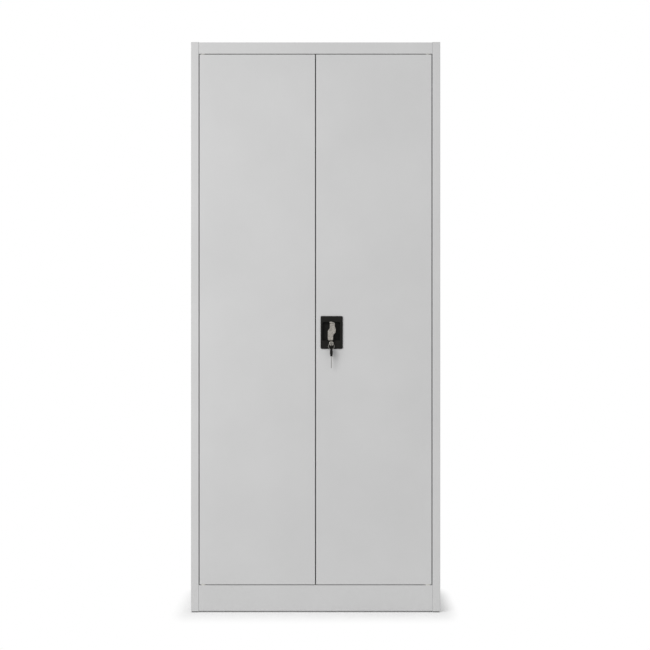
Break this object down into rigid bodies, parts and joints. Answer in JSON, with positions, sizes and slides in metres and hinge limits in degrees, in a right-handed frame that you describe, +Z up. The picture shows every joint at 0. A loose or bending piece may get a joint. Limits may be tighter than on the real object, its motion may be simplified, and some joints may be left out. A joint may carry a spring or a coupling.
{
  "type": "metal storage cabinet",
  "caption": "Tall flat-packed steel cupboard with a pair of hinged doors, shelves on slotted rails, and a turn handle that throws bolts up and down.",
  "frame": {"origin": "on the floor, under the middle of the box that holds the cupboard and the keys in front of its doors", "axes": "+Z up, the doors face -Y, +X is to the right when looking at the doors"},
  "size_m": [0.8, 0.4266, 1.83],
  "materials": {
    "powder_coat": "light grey powder coat, fine orange peel, satin",
    "zinc_plate": "bright zinc-plated steel",
    "cast_zinc": "satin die-cast zinc",
    "nickel": "nickel-plated brass and steel",
    "black_abs": "black moulded ABS, fine spark texture",
    "black_nylon": "black moulded nylon",
    "white_nylon": "natural white nylon",
    "rubber": "black rubber"
  },
  "bodies": {
    "cabinet": {"left_side_panel": "powder_coat", "right_side_panel": "powder_coat", "foot_glides": "black_nylon", "top_panel": "powder_coat", "bottom_panel": "powder_coat", "base_channels": "powder_coat", "back_panel_left": "powder_coat", "back_panel_right": "powder_coat", "back_screws": "zinc_plate", "back_nuts": "zinc_plate", "seam_screws": "zinc_plate", "seam_nuts": "zinc_plate", "top_screws": "zinc_plate", "top_nuts": "zinc_plate", "base_screws": "zinc_plate", "base_nuts": "zinc_plate", "left_front_rail": "powder_coat", "left_rear_rail": "powder_coat", "right_front_rail": "powder_coat", "right_rear_rail": "powder_coat", "shelf_1": "powder_coat", "shelf_2": "powder_coat", "shelf_3": "powder_coat", "shelf_4": "powder_coat", "shelf_channels": "powder_coat", "shelf_clips": "zinc_plate", "hinge_bushes": "white_nylon", "hinge_washers": "white_nylon", "door_buffers": "rubber"},
    "left_door": {"left_door_panel": "powder_coat", "left_door_stiffener": "powder_coat", "left_pivot_plates": "zinc_plate", "left_hinge_pins": "zinc_plate"},
    "right_door": {"right_door_panel": "powder_coat", "right_door_stiffener": "powder_coat", "right_pivot_plates": "zinc_plate", "right_hinge_pins": "zinc_plate", "lock_housing": "black_abs", "lock_barrel": "nickel", "barrel_clip": "zinc_plate", "rod_guides": "white_nylon", "lock_cover": "zinc_plate", "cover_spacers": "zinc_plate", "cover_screws": "zinc_plate"},
    "handle": {"turn_handle": "cast_zinc", "lock_cam": "zinc_plate"},
    "upper_rod": {"upper_rod": "zinc_plate", "upper_rod_pin": "zinc_plate"},
    "lower_rod": {"lower_rod": "zinc_plate", "lower_rod_pin": "zinc_plate"},
    "key": {"lock_plug": "nickel", "lock_tail": "zinc_plate", "tail_screw": "zinc_plate", "door_key": "nickel"},
    "key_ring": {"key_ring": "nickel"},
    "spare_key": {"spare_key_bow": "black_abs", "spare_key_blade": "nickel"}
  },
  "joints": [
    {"name": "left_door_hinge", "type": "hinge", "parent": "cabinet", "child": "left_door", "pos_m": [-0.3605, -0.1809, 0.95], "axis": [0, 0, -1], "range_deg": [0, 110]},
    {"name": "right_door_hinge", "type": "hinge", "parent": "cabinet", "child": "right_door", "pos_m": [0.3605, -0.1809, 0.95], "axis": [0, 0, 1], "range_deg": [0, 110]},
    {"name": "handle_turn", "type": "hinge", "parent": "right_door", "child": "handle", "pos_m": [0.0505, -0.1879, 0.902], "axis": [0, -1, 0], "range_deg": [0, 90]},
    {"name": "upper_rod_slide", "type": "slide", "parent": "right_door", "child": "upper_rod", "axis": [0, 0, 1], "range_m": [0, 0.015]},
    {"name": "lower_rod_slide", "type": "slide", "parent": "right_door", "child": "lower_rod", "axis": [0, 0, -1], "range_m": [0, 0.015]},
    {"name": "key_turn", "type": "hinge", "parent": "right_door", "child": "key", "pos_m": [0.0505, -0.1879, 0.8628], "axis": [0, 1, 0], "range_deg": [0, 90]},
    {"name": "key_ring_swing", "type": "hinge", "parent": "key", "child": "key_ring", "pos_m": [0.0505, -0.2026, 0.8628], "axis": [0, 1, 0], "range_deg": [-40, 0]},
    {"name": "spare_key_swing", "type": "hinge", "parent": "key_ring", "child": "spare_key", "pos_m": [0.0505, -0.2026, 0.8536], "axis": [0, 1, 0], "range_deg": [-50, 0]}
  ],
  "couplings": [
    {"joint": "upper_rod_slide", "follows": "handle_turn", "m_per_rad": 0.0095493},
    {"joint": "lower_rod_slide", "follows": "handle_turn", "m_per_rad": 0.0095493},
    {"joint": "key_ring_swing", "follows": "key_turn", "ratio": -0.44444},
    {"joint": "spare_key_swing", "follows": "key_turn", "ratio": -0.55556}
  ]
}
